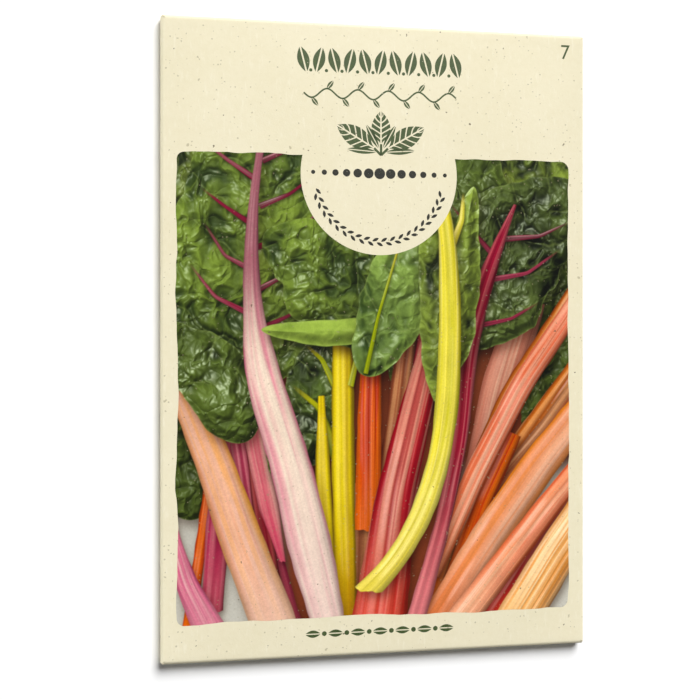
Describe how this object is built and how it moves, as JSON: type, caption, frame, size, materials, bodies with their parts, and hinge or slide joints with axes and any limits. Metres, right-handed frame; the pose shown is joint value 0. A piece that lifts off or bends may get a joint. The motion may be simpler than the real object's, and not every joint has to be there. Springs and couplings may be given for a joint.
{
  "type": "seed packet",
  "caption": "Flat paper seed packet: one folded and glued sheet around a sealed inner sachet with loose seed clusters, lying on its back.",
  "frame": {"origin": "middle of the back, on the surface that the packet lies on", "axes": "+Z out of the printed front, +Y towards the packet's top edge, +X to the right of the printed front"},
  "size_m": [0.09, 0.13, 0.0042],
  "materials": {
    "speckled_paper": "matte",
    "dried_glue": "satin",
    "glassine_film": "satin",
    "seed_husk": "matte"
  },
  "bodies": {
    "root": {"paper_packet": "speckled_paper", "back_seam_glue": "dried_glue", "top_flap_glue": "dried_glue", "bottom_flap_glue": "dried_glue", "sachet_back_film": "glassine_film", "sachet_front_film": "glassine_film", "seed_01": "seed_husk", "seed_02": "seed_husk", "seed_03": "seed_husk", "seed_04": "seed_husk", "seed_05": "seed_husk", "seed_06": "seed_husk", "seed_07": "seed_husk", "seed_08": "seed_husk", "seed_09": "seed_husk", "seed_10": "seed_husk", "seed_11": "seed_husk", "seed_12": "seed_husk", "seed_13": "seed_husk", "seed_14": "seed_husk", "seed_15": "seed_husk", "seed_16": "seed_husk", "seed_17": "seed_husk", "seed_18": "seed_husk", "seed_19": "seed_husk", "seed_20": "seed_husk", "seed_21": "seed_husk", "seed_22": "seed_husk", "seed_23": "seed_husk", "seed_24": "seed_husk", "seed_25": "seed_husk", "seed_26": "seed_husk", "seed_27": "seed_husk", "seed_28": "seed_husk", "seed_29": "seed_husk", "seed_30": "seed_husk", "seed_31": "seed_husk", "seed_32": "seed_husk", "seed_33": "seed_husk", "seed_34": "seed_husk", "seed_35": "seed_husk", "seed_36": "seed_husk", "seed_37": "seed_husk", "seed_38": "seed_husk", "seed_39": "seed_husk", "seed_40": "seed_husk", "seed_41": "seed_husk", "seed_42": "seed_husk", "seed_43": "seed_husk", "seed_44": "seed_husk", "seed_45": "seed_husk", "seed_46": "seed_husk", "seed_47": "seed_husk", "seed_48": "seed_husk"}
  },
  "joints": []
}
